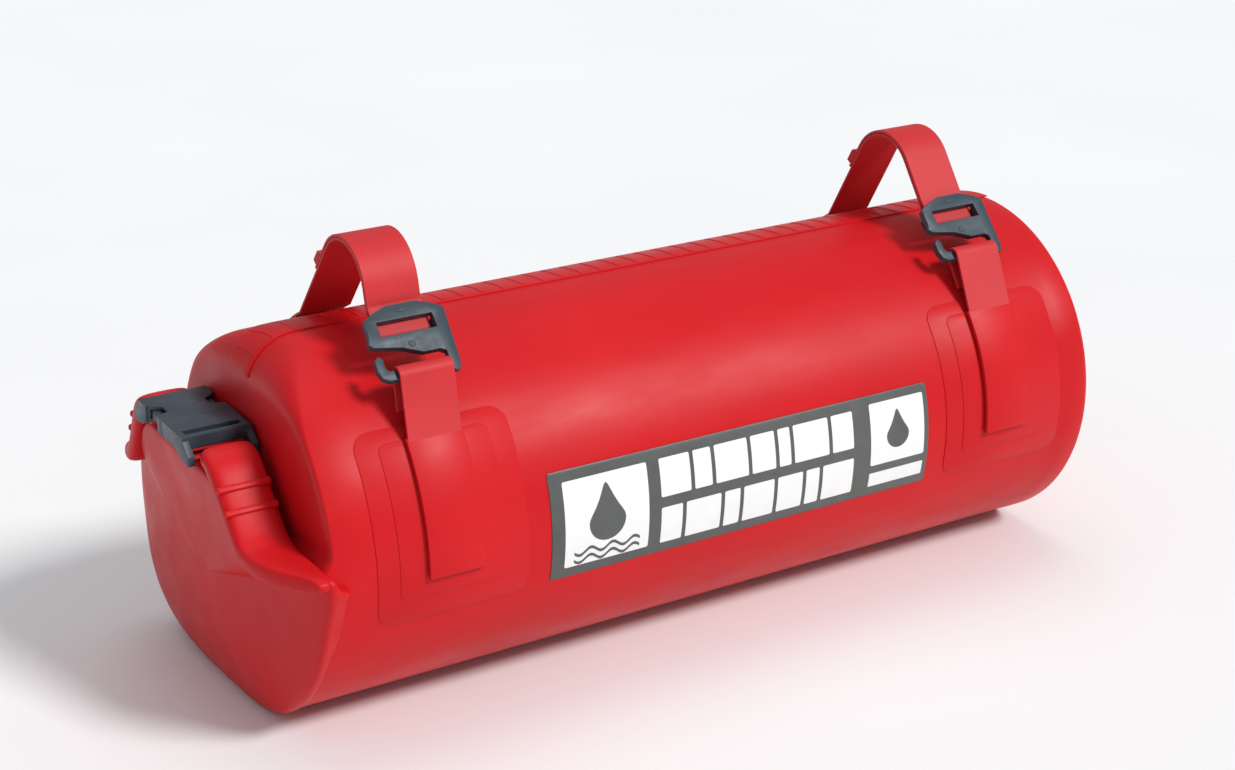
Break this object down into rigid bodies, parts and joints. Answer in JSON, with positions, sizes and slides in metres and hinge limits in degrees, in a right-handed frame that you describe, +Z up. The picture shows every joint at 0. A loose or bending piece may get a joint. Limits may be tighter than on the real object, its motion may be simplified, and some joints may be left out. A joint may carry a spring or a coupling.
{
  "type": "water ballast bag",
  "caption": "Round fabric ballast bag filled with water, with a rolled buckled mouth and two hooked webbing loops that hang it over a barrier rail.",
  "frame": {"origin": "on the ground under the middle of the bag, at the centre of its flat resting strip", "axes": "+X along the bag from the rolled mouth to the round end, -Y towards the labelled side, +Z up"},
  "size_m": [0.4765, 0.204, 0.2241],
  "materials": {
    "bag_fabric": "satin",
    "patch_fabric": "satin",
    "webbing": "matte",
    "hook_plastic": "satin",
    "buckle_plastic": "satin",
    "label_grey": "satin",
    "label_white": "satin",
    "water": "gloss",
    "stiffener": "matte"
  },
  "bodies": {
    "bag": {"bag_tube": "bag_fabric", "end_disc": "bag_fabric", "end_weld_flange": "bag_fabric", "water_fill": "water", "top_seam_strip": "bag_fabric", "shoulder_cap": "bag_fabric", "mouth_face": "bag_fabric", "rolled_mouth": "bag_fabric", "mouth_stiffener": "stiffener", "roll_arm_near": "bag_fabric", "roll_arm_far": "bag_fabric", "roll_ridges_near": "bag_fabric", "roll_ridges_far": "bag_fabric", "webbing_tab_far": "webbing", "buckle_receiver": "buckle_plastic", "front_patch_left": "patch_fabric", "front_patch_right": "patch_fabric", "front_inner_patch_left": "patch_fabric", "front_inner_patch_right": "patch_fabric", "back_patch_left": "patch_fabric", "back_patch_right": "patch_fabric", "back_inner_patch_left": "patch_fabric", "back_inner_patch_right": "patch_fabric", "front_loop_left": "webbing", "front_loop_right": "webbing", "strap_left": "webbing", "strap_right": "webbing", "strap_hem_left": "webbing", "strap_hem_right": "webbing", "label_panel": "label_grey", "label_print": "label_white"},
    "hook_left": {"hook_left": "hook_plastic"},
    "hook_right": {"hook_right": "hook_plastic"},
    "clip": {"buckle_male": "buckle_plastic", "webbing_tab_near": "webbing"},
    "prong_left": {"prong_left": "buckle_plastic"},
    "prong_right": {"prong_right": "buckle_plastic"}
  },
  "joints": [
    {"name": "hook_left_release", "type": "slide", "parent": "bag", "child": "hook_left", "axis": [1, 0, 0], "range_m": [0, 0.036], "deforming": ["strap_left", "front_loop_left"]},
    {"name": "hook_right_release", "type": "slide", "parent": "bag", "child": "hook_right", "axis": [1, 0, 0], "range_m": [0, 0.036], "deforming": ["strap_right", "front_loop_right"]},
    {"name": "buckle_release", "type": "slide", "parent": "bag", "child": "clip", "axis": [0, -1, 0], "range_m": [0, 0.022], "deforming": ["roll_arm_near", "roll_ridges_near"]},
    {"name": "prong_left_press", "type": "hinge", "parent": "clip", "child": "prong_left", "pos_m": [-0.2515, 0.0193, 0.13575], "axis": [0, 0, -1], "range_deg": [0, 8], "stiffness_Nm_per_rad": 0.3},
    {"name": "prong_right_press", "type": "hinge", "parent": "clip", "child": "prong_right", "pos_m": [-0.2255, 0.0193, 0.13575], "axis": [0, 0, 1], "range_deg": [0, 8], "stiffness_Nm_per_rad": 0.3}
  ]
}
